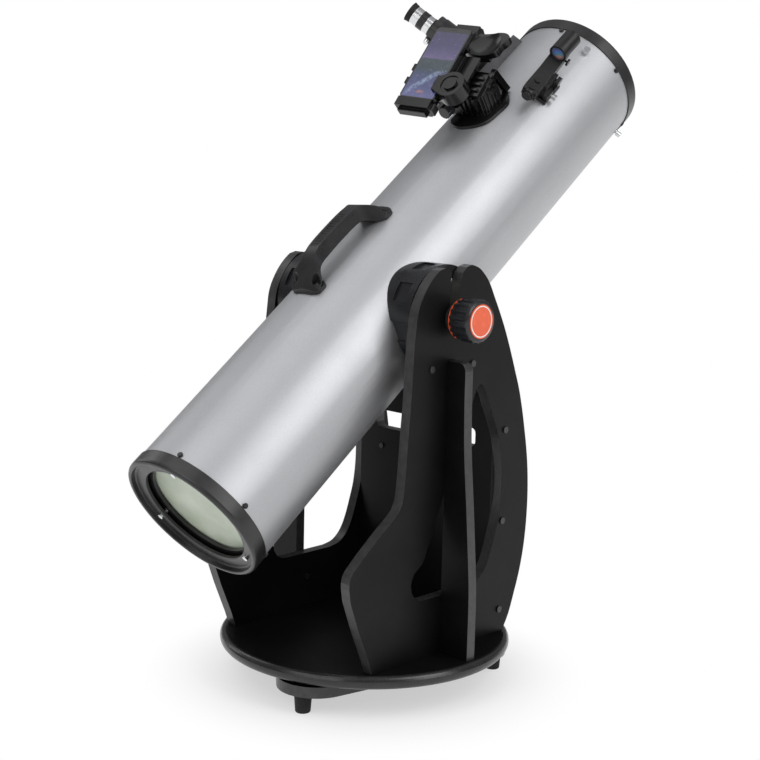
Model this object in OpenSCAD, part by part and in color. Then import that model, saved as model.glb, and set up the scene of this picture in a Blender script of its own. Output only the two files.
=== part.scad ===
// Dobsonian telescope: a Newtonian optical tube on a two-board rocker and a
// ground board. Millimetres, +Z up. The origin is at floor level under the
// middle of the whole. +X is the side with the main altitude knob, the sky end
// of the tube points to +Y. The tube rests at the altitude angle rest_alt.
// A "station" is a distance along the tube from the altitude axis, positive to the sky.

/* [Optical tube] */
// Outside diameter of the optical tube
tube_od = 235; // [233:0.5:236]
// Wall of the rolled steel tube
tube_wall = 1.25; // [1:0.05:1.4]
// Altitude angle of the tube at rest, degrees
rest_alt = 36.8; // [20:0.2:60]
// Distance from the altitude axis to the rear face of the mirror end
rear_len = 480; // [478:1:482]
// Distance from the altitude axis to the front face of the sky end
front_len = 637; // [635:1:640]

/* [Optics] */
// Diameter of the primary mirror
primary_d = 203; // [198:1:204]
// Focal length of the primary mirror
focal_len = 1200; // [1100:10:1400]
// Station of the secondary mirror and focuser along the tube
foc_s = 522; // [518:1:526]
// Angle of the focuser around the tube from the top, degrees
foc_th = -44; // [-46:1:-42]

/* [Rocker] */
// Height of the altitude axis above the floor
alt_z = 609.3; // [606:0.1:612]
// Distance of the altitude axis in front of the azimuth axis
alt_y = 10; // [8:0.5:12]
// Distance from the middle plane to the outer face of a side board
board_x = 167; // [166:0.5:169]
// Thickness of the side boards, ribs and front panel
board_t = 18; // [17:0.5:18.5]
// Radius of the base disc without its edge band
disc_r = 229; // [228:1:234]
// Width of the stiffening ribs
rib_w = 58; // [50:1:58]

/* [Ground board] */
// Height of the feet
foot_h = 30; // [26:1:34]
// Radius of the circle the feet stand on
foot_pcr = 217; // [205:1:220]

/* [Hidden] */

$fn = 64;
mid_y = 73.3;                      // from the azimuth axis to the middle of the whole
tube_r = tube_od / 2;
tube_inner_r = tube_r - tube_wall;
tube_rear = -rear_len + 11;        // stations of the ends of the steel tube
tube_front = front_len - 8;
spider_s = 585;                    // station of the spider

BOARD = [0.05, 0.05, 0.055];
PLASTIC = [0.09, 0.09, 0.095];
SILVER = [0.78, 0.79, 0.8];
CHROME = [0.85, 0.85, 0.86];
ORANGE = [0.93, 0.27, 0.1];
GLASS = [0.72, 0.78, 0.68];
BLACK_05 = [0.05, 0.05, 0.05];
BLACK_06 = [0.06, 0.06, 0.06];
BLACK_07 = [0.07, 0.07, 0.07];
BLACK_10 = [0.1, 0.1, 0.1];

// frames -----------------------------------------------------------------
// every piece is set back so that the origin is under the middle of the whole
module place() { translate([0, -mid_y, 0]) children(); }
// x across, y down from the tube's top, z along the tube to the sky
module ota() { translate([0, alt_y, alt_z]) rotate([rest_alt - 90, 0, 0]) children(); }
// x around the tube, y along it to the sky, z outward
module radial(angle, station) {
  ota() translate([0, 0, station]) rotate([0, 0, angle]) rotate([90, 0, 0]) children();
}
// z outward along the altitude axis on each side
module altitude_side(side) {
  translate([0, alt_y, alt_z]) rotate([0, 90 * side, 0]) children();
}
module both_altitude_sides() { for (side = [-1, 1]) altitude_side(side) children(); }
module focuser_frame() { radial(foc_th, foc_s) children(); }
// z turned to +x
module x_axis(at) { translate(at) rotate([0, 90, 0]) children(); }

// shapes -----------------------------------------------------------------
module rod(z, r, h, sides = 64) { translate([0, 0, z]) cylinder(r = r, h = h, $fn = sides); }
// rods from a point towards +x or +y
module x_rod(at, r, h, sides = 64) { x_axis(at) cylinder(r = r, h = h, $fn = sides); }
module y_rod(at, r, h, sides = 64) {
  translate(at) rotate([-90, 0, 0]) cylinder(r = r, h = h, $fn = sides);
}
module box(at, size) { translate(at) cube(size); }
// outline drawn in y and z, extruded towards +x
module yz_slab(at, thickness) {
  translate(at) rotate([90, 0, 90]) linear_extrude(thickness) children();
}
// rounded rectangle from exact pieces
module rounded_rect(width, height, corner) {
  square([width - 2 * corner, height], center = true);
  square([width, height - 2 * corner], center = true);
  for (x = [-1, 1], y = [-1, 1])
    translate([x * (width / 2 - corner), y * (height / 2 - corner)]) circle(r = corner, $fn = 32);
}
// ridged grip: its radius swings by ripple each way, with flattened crests
module grip(z, h, r, ripple, points, ridges = 18) {
  translate([0, 0, z]) linear_extrude(h) polygon([for (i = [0:points - 1])
    let(angle = i * 360 / points, rim = r + ripple * min(1, max(-1, 2 * cos(angle * ridges))))
    [rim * cos(angle), rim * sin(angle)]]);
}
// screw with the underside of its head at z = 0
module cap_screw(head_r, head_h, length, shank_r) {
  cylinder(r = head_r, h = head_h, $fn = 24);
  rod(-length, shank_r, length + 0.5, 20);
}
// in a radial frame at station 0: the tube's outside, to cut a saddle
module tube_cut(length = 300) {
  rotate([90, 0, 0]) cylinder(r = tube_r + 0.05, h = length, center = true, $fn = 128);
}
// in a radial frame: small screw hole through the tube wall
module wall_hole(h = 30) { rod(100, 2.05, h, 20); }

// smooth (Catmull-Rom) curve through control points
function catmull_rom(before, from, to, after, share) = 0.5 * (2 * from
  + (to - before) * share
  + (2 * before - 5 * from + 4 * to - after) * share * share
  + (3 * from - before - 3 * to + after) * share * share * share);
function spline(points, steps) = let(last = len(points) - 1) [
  for (i = [0:last - 1], k = [0:steps - 1])
    catmull_rom(points[max(i - 1, 0)], points[i], points[i + 1], points[min(i + 2, last)],
      k / steps),
  points[last]];
function closed_spline(points, steps) = spline(concat(points, [points[0]]), steps);

// ground board -----------------------------------------------------------
FOOT_ANGLES = [-71.4, 48.6, 168.6];
ground_t = 18;                     // thickness of the ground board
lobe_pcr = 175;                    // circle of the board's round lobes and the glide pads
lobe_r = 62;
disc_t = 20;                       // thickness of the base disc
base_z = foot_h + ground_t + 4;    // underside of the base disc
top_z = base_z + disc_t;           // upper face of the base disc

module at_feet(circle_r, z = 0) {
  for (a = FOOT_ANGLES) rotate([0, 0, a]) translate([circle_r, 0, z]) children();
}

module ground_board() color(BOARD) place() difference() {
  translate([0, 0, foot_h]) linear_extrude(ground_t)
    polygon([for (a = FOOT_ANGLES, turn = [-60:6:60])
      [cos(a) * lobe_pcr + lobe_r * cos(a + turn), sin(a) * lobe_pcr + lobe_r * sin(a + turn)]]);
  cylinder(r = 5.05, h = 100, $fn = 32);
  at_feet(foot_pcr) cylinder(r = 2.6, h = 60, $fn = 20);
}
module feet() color(BLACK_07) place() at_feet(foot_pcr) difference() {
  rotate_extrude($fn = 48) polygon([[0, 0], [11, 0], [12.2, 1.5], [14.2, foot_h - 2],
    [13.6, foot_h], [0, foot_h]]);
  cylinder(r = 2.6, h = 100, center = true, $fn = 20);
  rod(-1, 5.2, 8, 24);
}
module foot_screws() color(CHROME) place() at_feet(foot_pcr) {
  rod(4, 4.8, 3, 24);
  rod(6.5, 2.5, 36, 20);
}
module glide_pads() color([0.92, 0.92, 0.9]) place()
  at_feet(lobe_pcr, foot_h + ground_t + 0.02) cylinder(r = 16, h = 3.88, $fn = 40);
module pivot_bolt() color(CHROME) place() {
  rod(foot_h - 6, 9.2, 6, 6);
  rod(foot_h - 1, 5, top_z + 21 - foot_h, 32);
  difference() { // washer and lock nut
    union() {
      rod(top_z + 4, 14, 2, 40);
      rod(top_z + 6, 9.2, 9, 6);
    }
    cylinder(r = 5.02, h = 200, $fn = 32);
  }
}

// rocker ------------------------------------------------------------------
in_x = board_x - board_t;          // inner face of a side board
panel_y = 136;                     // rear face of the front panel
panel_top = 478;
rib_y = 8;                         // middle plane of the ribs
hand_hole_z = 394;                 // middle of the hand hole
panel_hole_x = 99;                 // two screws in the rear face of the front panel
panel_hole_z = 346;
bearing_dy = 48;                   // bearing pads from the altitude axis
hub_r = 81;                        // altitude hub radius
bearing_dz = -sqrt(pow(hub_r + 9.1, 2) - pow(bearing_dy, 2));

// screws through the side boards: y, z
PANEL_SCREWS = [for (z = [415, 263, 112]) [panel_y + board_t / 2, z]];
RIB_SCREWS = [for (z = [124, 506]) [rib_y, z]];
BEARING_SCREWS = [for (side = [-1, 1]) [alt_y + side * bearing_dy, alt_z + bearing_dz]];

// children at each (y, z) spot in the plane x, their z turned to +x (way 1) or -x (way -1)
module across(x, spots, way) {
  for (spot = spots) translate([x, spot[0], spot[1]]) rotate([0, 90 * way, 0]) children();
}

module base_disc() color(BOARD) place() difference() {
  rod(base_z, disc_r, disc_t, 180);
  cylinder(r = 10, h = 200, $fn = 40);
}
module base_bumper() color([0.04, 0.04, 0.04]) place() translate([0, 0, base_z])
  rotate_extrude($fn = 180) polygon(concat(
    [[disc_r, 0]],
    [for (i = [0:10]) [disc_r + 2 + 9 * cos(-90 + i * 18), 10 + 10.6 * sin(-90 + i * 18)]],
    [[disc_r, disc_t]]));
module pivot_bush() color([0.9, 0.9, 0.88]) place() difference() {
  union() {
    rod(base_z, 10, disc_t, 40);
    rod(top_z, 18, 3.9, 40);
  }
  cylinder(r = 5.06, h = 200, $fn = 32);
}

// Side board outlines: y from the azimuth axis, height above the base disc.
// front edge, upwards
FRONT_EDGE = [[155, 0], [171, 26], [185, 63], [196, 96], [204, 131], [208.5, 165], [210.5, 198],
  [210.5, 232], [208, 268], [203, 302], [196, 336], [188, 370], [178, 405], [165, 439],
  [151, 474], [136, 508], [119, 541], [107, 562], [94, 585], [82, 599], [67, 611], [50, 617]];
// front and rear lips of the shaft slot
SLOT_FRONT = [[37, 614], [28, 606], [21.5, 592], [20, 575]];
SLOT_REAR = [[0, 575], [0.5, 596], [3, 608], [-3, 613], [-13, 615]];
slot_r = 9.75;                     // round bottom of the shaft slot
// upper rear edge, downwards
REAR_EDGE = [[-26, 612], [-39, 602], [-53, 587], [-65, 568], [-72, 550], [-75, 529], [-78, 500],
  [-80, 457], [-82.5, 410], [-86, 369], [-90, 307], [-93.5, 272]];
// lower rear edge, downwards
TAIL_EDGE = [[-96, 260], [-103, 248], [-115, 237.5], [-136, 223], [-176, 192], [-199, 172],
  [-205, 164], [-207.5, 154], [-207.5, 146], [-204, 124], [-186, 77], [-163, 24], [-154, 0]];
// opening in the board: smooth front edge, top corner, rear corner
OPENING_FRONT = [[62, 95], [83, 99], [98, 109], [109, 123], [119, 145], [128, 172], [135, 196],
  [139.5, 228], [140.5, 262], [138, 296], [131, 330], [121, 354], [110, 376], [98, 402],
  [89, 418]];
OPENING_TOP = [[84, 424], [78, 425.5], [72.5, 423], [69, 417]];
OPENING_REAR = [[-42, 163], [-47, 155], [-55, 149], [-64, 143], [-69, 135], [-71.5, 124],
  [-69, 112], [-62, 102], [-52, 96.5]];

module board_outline() polygon(concat(
  spline(FRONT_EDGE, 4),
  SLOT_FRONT,
  [for (i = [0:12]) [alt_y + slot_r * cos(-i * 15), alt_z - top_z + slot_r * sin(-i * 15)]],
  SLOT_REAR,
  spline(REAR_EDGE, 4),
  TAIL_EDGE));
module opening_outline() polygon(concat(
  [[-38, 95]], spline(OPENING_FRONT, 4), OPENING_TOP, OPENING_REAR));

module side_board(side) {
  low_x = side > 0 ? in_x : -board_x;
  difference() {
    yz_slab([low_x, 0, top_z], board_t) difference() {
      board_outline();
      opening_outline();
    }
    across(low_x - 1, concat(PANEL_SCREWS, RIB_SCREWS), 1) cylinder(r = 2.55, h = 20, $fn = 20);
    across(low_x - 1, BEARING_SCREWS, 1) cylinder(r = 3.05, h = 20, $fn = 20);
  }
}
module side_board_right() color(BOARD) place() side_board(1);
module side_board_left() color(BOARD) place() side_board(-1);

// outer edge of a rib: inset from its full width, height above the base disc
RIB_EDGE = [[0, 84], [1, 120], [4.8, 170], [11.6, 250], [19, 330], [21.5, 396], [22, 430]];
module rib(side) mirror([side > 0 ? 0 : 1, 0, 0]) difference() {
  translate([board_x, rib_y + board_t / 2, top_z]) rotate([90, 0, 0]) linear_extrude(board_t)
    polygon(concat(
      [[0, 0], [rib_w, 0]],
      spline([for (point = RIB_EDGE) [rib_w - point[0], point[1]]], 3),
      [for (i = [0:6]) [rib_w - 35 + 13 * cos(i * 15), 458 + 13 * sin(i * 15)]],
      [[0, 471]]));
  across(board_x - 1, RIB_SCREWS, 1) cylinder(r = 2.55, h = 31, $fn = 20);
}
module rib_right() color(BOARD) place() rib(1);
module rib_left() color(BOARD) place() rib(-1);

module front_panel() color(BOARD) place() difference() {
  box([-in_x, panel_y, top_z], [2 * in_x, board_t, panel_top - top_z]);
  translate([0, panel_y - 1, hand_hole_z]) rotate([-90, 0, 0])
    linear_extrude(board_t + 2) rounded_rect(224, 31, 9);
  for (side = [-1, 1]) {
    across(side * (in_x - 31), PANEL_SCREWS, side) cylinder(r = 2.55, h = 32, $fn = 20);
    y_rod([side * panel_hole_x, panel_y - 1, panel_hole_z], 2.05, 30, 20);
  }
}
module board_screws() color([0.12, 0.12, 0.12]) place() for (side = [-1, 1]) {
  across(side * board_x, PANEL_SCREWS, side) cap_screw(5.5, 2.4, 48, 2.5);
  across(side * board_x, BEARING_SCREWS, side) cap_screw(5.5, 2.4, 36, 3);
  across(side * in_x, RIB_SCREWS, -side) cap_screw(5.5, 2.0, 46, 2.5);
  translate([side * panel_hole_x, panel_y, panel_hole_z]) rotate([90, 0, 0])
    cap_screw(4.5, 2.2, 17, 2);
}
module bearing_pads() color([0.85, 0.85, 0.83]) place() for (side = [-1, 1])
  across(side * in_x, BEARING_SCREWS, -side) difference() {
    cylinder(r = 9, h = 19, $fn = 40);
    rod(-1, 3.05, 21, 20);
  }

// tube and its end rings ----------------------------------------------------
rear_screw_s = -rear_len + 30.5;   // stations of the ring screws
front_screw_s = front_len - 30;
handle_angle = -4;                 // angle of the carry handle around the tube

module ring_screw_spots(station) { for (k = [0:5]) radial(15 + 60 * k, station) children(); }
module spider_spots() { for (k = [0:3]) radial(45 + 90 * k, spider_s) children(); }
module handle_screw_spots() {
  for (end = [-1, 1], side = [-1, 1]) radial(handle_angle + 10 * side, end * 88) children();
}

module optical_tube() color(SILVER) place() difference() {
  ota() rod(tube_rear, tube_r, tube_front - tube_rear, 180);
  ota() rod(tube_rear - 1, tube_inner_r, tube_front - tube_rear + 2, 180);
  focuser_frame() rod(90, 30, 60);
  ring_screw_spots(rear_screw_s) wall_hole();
  ring_screw_spots(front_screw_s) wall_hole();
  spider_spots() wall_hole();
  altitude_side(1) rod(-150, 8.1, 300, 40);
  handle_screw_spots() wall_hole();
}
// the ring profiles are radius, station
module front_ring() color(PLASTIC) place() difference() {
  ota() rotate_extrude($fn = 180) polygon([
    [tube_r + 2, front_len - 25.7], [tube_r + 2, front_len - 4],
    [tube_r + 1.4, front_len - 1.6], [tube_r, front_len],
    [113.4, front_len], [112.2, front_len - 1.2], [112.2, front_len - 37],
    [tube_inner_r - 0.05, front_len - 37], [tube_inner_r - 0.05, tube_front + 0.05],
    [tube_r + 0.05, tube_front + 0.05], [tube_r + 0.05, front_len - 25.7]]);
  ring_screw_spots(front_screw_s) wall_hole();
}
module rear_ring() color(PLASTIC) place() difference() {
  ota() translate([0, 0, -rear_len]) rotate_extrude($fn = 180) polygon([
    [tube_r + 2, 25.5], [tube_r + 2, 6], [tube_r + 1.5, 3.2], [tube_r + 0.2, 1.2],
    [tube_r - 2, 0], [112.6, 0], [111.6, 1], [110.6, 7.5], [108, 8.5], [93, 8.5], [91, 9.5],
    [91, 14], [112, 14], [112, 42], [tube_inner_r - 0.05, 42], [tube_inner_r - 0.05, 10.95],
    [tube_r + 0.05, 10.95], [tube_r + 0.05, 25.5]]);
  ring_screw_spots(rear_screw_s) wall_hole();
  collimation_spots() cylinder(r = 2.6, h = 40, $fn = 20);
}
module ring_screws() color(BLACK_06) place() for (station = [rear_screw_s, front_screw_s])
  ring_screw_spots(station) translate([0, 0, tube_r + 0.1]) {
    cylinder(r = 4.2, h = 2.2, $fn = 24);
    rod(2.1, 3.2, 1, 24);
    rod(-4.9, 2, 5.2, 20);
  }

// primary mirror cell ---------------------------------------------------------
mirror_r = primary_d / 2;
mirror_back = -rear_len + 27.1;    // stations of the back and front edge of the mirror
mirror_front = -424;
clip_screw_y = -104.7;

// z = 0 at the rear face of the mirror end
module collimation_spots() {
  for (k = [0:2]) ota() rotate([0, 0, 15 + 120 * k]) translate([0, -98.5, -rear_len]) children();
}
module clip_spots() { for (k = [0:2]) ota() rotate([0, 0, 75 + 120 * k]) children(); }

module mirror_carrier() color(BLACK_05) place() difference() {
  ota() translate([0, 0, -rear_len + 20]) rotate_extrude($fn = 128)
    polygon([[86, 0], [107, 0], [107, 7], [90, 7], [88, 5], [86, 5]]);
  collimation_spots() cylinder(r = 2.55, h = 40, $fn = 20);
  clip_spots() translate([0, clip_screw_y, -rear_len + 10]) cylinder(r = 1.3, h = 40, $fn = 16);
}
// disc with a parabolic front face
module primary_mirror() color(GLASS) place() ota() rotate_extrude($fn = 128) polygon(concat(
  [[0, mirror_back], [mirror_r - 1, mirror_back], [mirror_r, mirror_back + 1],
    [mirror_r, mirror_front]],
  [for (i = [12:-1:0]) let(x = i / 12 * (mirror_r - 1))
    [x, mirror_front - pow(mirror_r, 2) / (4 * focal_len) + x * x / (4 * focal_len)]]));
module mirror_clips() color(BLACK_10) place() clip_spots() {
  difference() {
    box([-7, -108.5, mirror_back], [14, 6.4, mirror_front + 1.5 - mirror_back]);
    rod(-rear_len, mirror_r + 0.8, 90, 128);
  }
  box([-7, -108.5, mirror_front + 0.3], [14, 12.5, 1.6]);
  translate([0, clip_screw_y, -rear_len + 21]) cylinder(r = 1.25, h = 7, $fn = 16);
}
module collimation_screws() color(CHROME) place() collimation_spots() {
  rod(4.6, 4.3, 3.8, 28);
  rod(8, 2.5, 18.8, 20);
}
// each spring is three stacked rings
module collimation_springs() color([0.6, 0.6, 0.62]) place() collimation_spots()
  for (k = [0:2]) translate([0, 0, 15 + 1.9 * k])
    rotate_extrude($fn = 32) translate([4.2, 0]) circle(r = 0.6, $fn = 16);

// spider and secondary mirror ---------------------------------------------------
module spider() color(BLACK_06) place() difference() {
  union() {
    ota() rod(spider_s - 17, 13, 34, 48);
    spider_spots() {
      box([-0.6, -13, 12], [1.2, 26, 95]);
      box([-4, -13, 106], [8, 26, 10]);
    }
  }
  ota() rod(spider_s - 40, 3.05, 80, 24);
  spider_spots() rod(107, 2.05, 20, 20);
  difference() { // everything outside the tube's bore
    ota() rod(spider_s - 30, 140, 60);
    ota() rod(spider_s - 31, tube_inner_r - 0.05, 62, 180);
  }
}
module spider_thumbscrews() color(CHROME) place() spider_spots()
  translate([0, 0, tube_r + 0.1]) {
    cylinder(r = 4, h = 3, $fn = 28);
    grip(2.5, 8.5, 5.75, 0.25, 36);
    rod(-9, 2, 9.5, 20);
  }
module secondary_holder() color([0.08, 0.08, 0.08]) place() focuser_frame() {
  intersection() {
    rotate([90, 0, 0]) cylinder(r = 24.6, h = 88, center = true, $fn = 64);
    rotate([45, 0, 0]) box([-40, -70, -90.1], [80, 140, 80]);
  }
  rotate([90, 0, 0]) { // stem in two lengths, nut
    rod(-66, 3, 30, 24);
    rod(-94, 3, 40, 24);
    rod(-92, 5.6, 6.9, 6);
  }
  for (a = [0, 120, 240]) rotate([0, a, 0]) translate([8.5, 45.9, 0]) rotate([90, 0, 0])
    cylinder(r = 1.6, h = 4, $fn = 16);
}
module secondary_mirror() color([0.8, 0.84, 0.88]) place() focuser_frame() intersection() {
  rotate([90, 0, 0]) cylinder(r = 25, h = 140, center = true, $fn = 64);
  rotate([45, 0, 0]) box([-40, -60, -10], [80, 120, 10]);
}

// altitude bearings ---------------------------------------------------------
shaft_r = 9;                       // outer part of the altitude shaft
hub_z = 84;                        // inner end of a hub, before the tube is cut away

module hub() difference() {
  union() {
    difference() { // rim with eight windows
      rod(hub_z, hub_r, 63, 128);
      rod(70, hub_r - 6, 71, 128);
      for (k = [0:7]) rotate([0, 0, k * 45 + 22.5]) box([hub_r - 4, -16, 108], [20, 32, 27]);
    }
    intersection() { // eight spokes
      rod(hub_z, hub_r - 1, 60, 96);
      union() for (k = [0:7]) rotate([0, 0, k * 45]) box([18, -2, hub_z], [61, 4, 60]);
    }
    rod(hub_z, 22, 60);
  }
  rod(60, 8.1, 120, 40);
}
module altitude_hubs() color(PLASTIC) place() difference() {
  ota() for (side = [-1, 1]) rotate([0, 90 * side, 0]) hub();
  ota() cylinder(r = tube_r + 0.05, h = 400, center = true, $fn = 180);
}
module friction_washers() color([0.8, 0.8, 0.78]) place() both_altitude_sides() difference() {
  rod(147.05, 60, 1.8, 96);
  rod(140, shaft_r + 0.1, 20, 40);
}
module altitude_shafts() color(CHROME) place() both_altitude_sides() {
  rod(105, 8, 42.5, 48);
  rod(147, shaft_r, 70, 48);
  rod(105, 14, 4, 6);
}
module shaft_collars() color(BLACK_06) place() both_altitude_sides() difference() {
  union() {
    rod(board_x + 0.5, 21, 6);
    rod(board_x + 6, 17, 9.2);
  }
  rod(150, shaft_r + 0.02, 80, 48);
}
module knob() difference() {
  union() {
    grip(195, 22.2, 33.1, 1.4, 144);
    grip(184, 11.2, 30.9, 1.2, 144);
    translate([0, 0, 217]) rotate_extrude($fn = 96) polygon([[0, 0], [33.2, 0], [33.2, 1.5],
      [31.5, 3.6], [28.6, 4.6], [26.8, 4.6], [26.8, 3.4], [0, 3.4]]);
  }
  rod(180, shaft_r + 0.05, 38, 48);
}
module altitude_knob_right() color(PLASTIC) place() altitude_side(1) knob();
module altitude_knob_left() color(PLASTIC) place() altitude_side(-1) knob();
// disc on the outer face of a knob and ring on its inner face
module knob_disc() {
  rod(220.45, 26.4, 2.2, 96);
  difference() {
    rod(182.4, 31.4, 1.55, 96);
    rod(180, shaft_r + 0.05, 10, 48);
  }
}
module knob_disc_right() color(ORANGE) place() altitude_side(1) knob_disc();
module knob_disc_left() color(ORANGE) place() altitude_side(-1) knob_disc();

// carry handle ---------------------------------------------------------------
// side profile: distance towards the mirror end, height from the tube's axis
HANDLE_TOP = [[-100, 118], [-91, 128], [-80, 143], [-66, 156], [-52, 160.5], [-30, 162.5],
  [0, 163], [30, 162.5], [50, 160], [66, 152], [82, 139], [96, 127], [106, 118]];
HANDLE_UNDER = [[97, 113], [88, 121], [74, 131], [60, 136], [30, 138], [0, 138.5], [-30, 138],
  [-50, 135], [-62, 127], [-72, 118], [-76, 113]];
// half width of the handle at a distance from its middle: slim bar, wide ends
function handle_half_width(y) = let(reach = abs(y))
  reach > 98 ? 28.3 - (reach - 98) * 1.1
  : reach > 80 ? 29.2
  : reach > 48 ? 12.5 + 16.7 * pow((reach - 48) / 32, 2)
  : 12.5;

module carry_handle() color([0.16, 0.16, 0.17]) place() difference() {
  radial(handle_angle, 0) union() {
    intersection() { // bar and legs: side view and plan
      translate([35, 0, 0]) rotate([90, 0, -90]) linear_extrude(70)
        polygon(concat(spline(HANDLE_TOP, 4), spline(HANDLE_UNDER, 4)));
      linear_extrude(200) polygon(concat(
        [for (y = [-106:4:106]) [handle_half_width(y), y]],
        [for (y = [106:-4:-106]) [-handle_half_width(y), y]]));
    }
    intersection() { // foot plates
      rotate([90, 0, 0]) cylinder(r = tube_r + 5.5, h = 230, center = true, $fn = 128);
      translate([0, 0, 80]) linear_extrude(60) union()
        for (end = [-1, 1]) translate([0, end * 90]) rounded_rect(62, 28, 10);
    }
  }
  radial(handle_angle, 0) tube_cut();
  handle_screw_spots() {
    wall_hole(60);
    rotate([0, 0, 37]) rod(tube_r + 4.6, 7.2, 60, 32);
  }
  radial(handle_angle, 0) difference() { // recess in the top that leaves cross ridges
    translate([0, 0, 161.4]) linear_extrude(5) rounded_rect(15, 92, 7.4);
    for (y = [-36:6:36]) box([-5.5, y - 1.2, 161], [11, 2.4, 1.2]);
  }
}
module handle_screws() color(BLACK_10) place() handle_screw_spots()
  translate([0, 0, tube_r + 4.65]) {
    cylinder(r = 5.4, h = 2.8, $fn = 28);
    rod(-11, 2, 11.5, 20);
  }

// focuser --------------------------------------------------------------------
focus_axis = [0, -31.05, 150];     // middle of the focus shaft in the focuser frame
adapter_screw_z = 242;

module focuser_base() color([0.17, 0.17, 0.18]) place() difference() {
  focuser_frame() translate([0, 4, 100]) linear_extrude(28) rounded_rect(92, 122, 9);
  focuser_frame() {
    tube_cut();
    rod(60, 29.4, 120);
  }
  radial(-45, spider_s) rod(100, 7.2, 60, 32); // room for a spider thumbscrew
}
module focuser_body() color([0.08, 0.08, 0.085]) place() focuser_frame() difference() {
  union() {
    rod(128.05, 37, 6);
    rod(134, 34, 42);
    rod(170, 35.5, 8);
    box([-22, -46, 138], [44, 26, 26]);
    for (a = [30:60:150]) rotate([0, 0, a]) box([33, -4, 134], [3.4, 8, 40]);
  }
  rod(100, 28.55, 100);
  x_axis(focus_axis) rod(-50, 4.05, 100, 32);
  box([-9, -36.5, 144], [18, 16, 12]);
}
module focuser_drawtube() color([0.12, 0.12, 0.125]) place() focuser_frame() difference() {
  rod(119, 28.5, 118);
  rod(110, 25.55, 140);
  box([-15, -31, 119.5], [30, 4, 70]);
}
module focus_shaft() color(BLACK_10) place() focuser_frame() x_axis(focus_axis) {
  rod(-44, 4, 88, 32);
  for (side = [-1, 1]) {
    grip(side * 55 - 12, 24, 16.4, 0.8, 96, 24);
    translate([0, 0, side * 39]) cylinder(r = 8, h = 10, center = true, $fn = 32);
    translate([0, 0, side * 67.5]) cylinder(r = 13.5, h = 2, center = true, $fn = 48);
  }
}
module eyepiece_adapter() color(BLACK_07) place() focuser_frame() difference() {
  union() {
    rod(212, 25.5, 26);
    rod(237.05, 27.5, 10.5);
  }
  rod(200, 15.93, 60, 48);
  translate([0, 0, adapter_screw_z]) rotate([90, 0, 0]) cylinder(r = 2.05, h = 60, $fn = 20);
}
module adapter_thumbscrew() color(CHROME) place() focuser_frame()
  translate([0, 0, adapter_screw_z]) rotate([90, 0, 0]) {
    rod(16.6, 2, 15, 20);
    grip(29, 7, 4.4, 0.2, 36);
  }
// barrel and body of the eyepiece: start, radius, length
EYEPIECE_STEPS = [[219, 15.85, 30], [247.6, 16.8, 6], [253, 16.2, 12], [264.5, 16.9, 13],
  [277, 16.2, 14.5]];
module eyepiece() color(CHROME) place() focuser_frame() difference() {
  union() for (step = EYEPIECE_STEPS) rod(step[0], step[1], step[2], 48);
  rod(210, 13.5, 38, 48);
  rod(287, 11, 10, 48);
}
module eyecup() color(BLACK_05) place() focuser_frame() translate([0, 0, 291.55])
  rotate_extrude($fn = 64) polygon([[11.2, 0], [16.6, 0], [17.2, 2], [17.6, 6], [18.4, 9.4],
    [17.4, 9.8], [15.6, 6.5], [13, 3.2], [11.2, 2]]);

// telephone dock --------------------------------------------------------------
tilt_y = -12;                      // tilt pin of the cradle in the dock frame
tilt_z = -23.5;
strut_foot = [429, 124];           // station, height from the tube's axis
strut_head = [408, 181];
block_angle = -13;                 // angle around the tube of the block and its knob
turn_x = 10;                       // axis of the turn knob in that frame
turn_z = 143;
tilt_knob_x = 17;                  // axis of the tilt knob in the dock frame
tilt_knob_z = -28.2;
// outline of the foot pad: x around the tube, station
PAD = [[-41, 340], [-32, 327.6], [-17.5, 318.9], [-1.3, 316.7], [15.6, 324.3], [28, 338],
  [33.5, 352], [36, 371], [37.6, 390], [37, 403], [29, 418], [18, 428], [8.4, 436.5],
  [-14, 453], [-26, 457], [-36, 451], [-39, 436], [-40, 410], [-40.5, 380]];

// x across, y up the screen, z out of the screen
module dock() {
  radial(0, 376.7) translate([-45, 0, 203.8]) rotate([14.4, 0, 0]) rotate([0, 8, 0]) children();
}

module dock_pad() difference() {
  intersection() {
    radial(6.5, 0) translate([0, 0, 90]) linear_extrude(60) polygon(closed_spline(PAD, 4));
    ota() rod(300, tube_r + 5.5, 170, 180);
  }
  ota() rod(280, tube_r + 0.05, 200, 180);
}
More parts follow.
